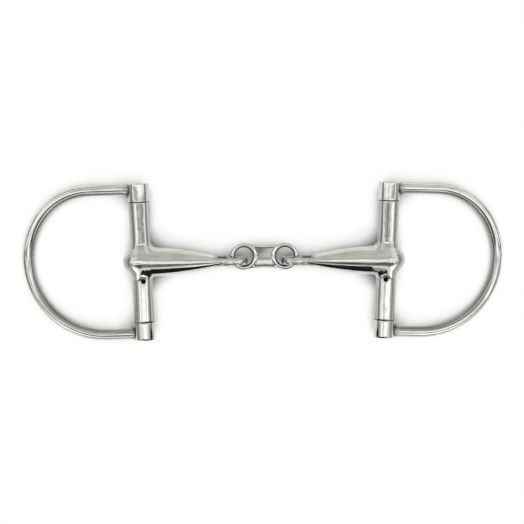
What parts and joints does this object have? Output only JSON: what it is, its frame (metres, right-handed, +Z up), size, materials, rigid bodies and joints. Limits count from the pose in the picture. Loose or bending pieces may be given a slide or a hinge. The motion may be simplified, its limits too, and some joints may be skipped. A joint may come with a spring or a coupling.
{
  "type": "snaffle bit",
  "caption": "Snaffle bit: D-shaped cheeks turn on upright barrels, and tapered cannons with eyes hang from a flat middle link; straps and reins loop through the cheeks.",
  "frame": {"origin": "middle of the bit's footprint, on the table it lies on, with the middle link above it", "axes": "+X along the bit from the left cheek to the right one, +Y along the barrels to their upper ends, +Z up from the table"},
  "size_m": [0.2736, 0.0893, 0.017],
  "materials": {
    "polished_steel": "mirror polished by hand",
    "satin_steel": "satin polished",
    "pin_steel": "ground flush"
  },
  "bodies": {
    "link": {"french_link": "satin_steel"},
    "left_cannon": {"left_cannon": "polished_steel"},
    "left_cheek": {"left_bow": "satin_steel", "left_upper_knuckle": "polished_steel", "left_lower_knuckle": "polished_steel", "left_hinge_pin": "pin_steel"},
    "right_cannon": {"right_cannon": "polished_steel"},
    "right_cheek": {"right_bow": "satin_steel", "right_upper_knuckle": "polished_steel", "right_lower_knuckle": "polished_steel", "right_hinge_pin": "pin_steel"}
  },
  "joints": [
    {"name": "left_fold", "type": "hinge", "parent": "link", "child": "left_cannon", "pos_m": [-0.01657, 0.00021, 0.0072], "axis": [0, 1, 0], "range_deg": [-90, 90]},
    {"name": "left_turn", "type": "hinge", "parent": "left_cannon", "child": "left_cheek", "pos_m": [-0.06943, 0.00021, 0.0085], "axis": [-0.0314, 0.9995, 0.0008], "range_deg": [-164, 175]},
    {"name": "right_fold", "type": "hinge", "parent": "link", "child": "right_cannon", "pos_m": [0.01657, 0.00021, 0.0072], "axis": [0, -1, 0], "range_deg": [-90, 90]},
    {"name": "right_turn", "type": "hinge", "parent": "right_cannon", "child": "right_cheek", "pos_m": [0.06943, 0.00021, 0.0085], "axis": [-0.0314, -0.9995, -0.0008], "range_deg": [-164, 175]}
  ]
}
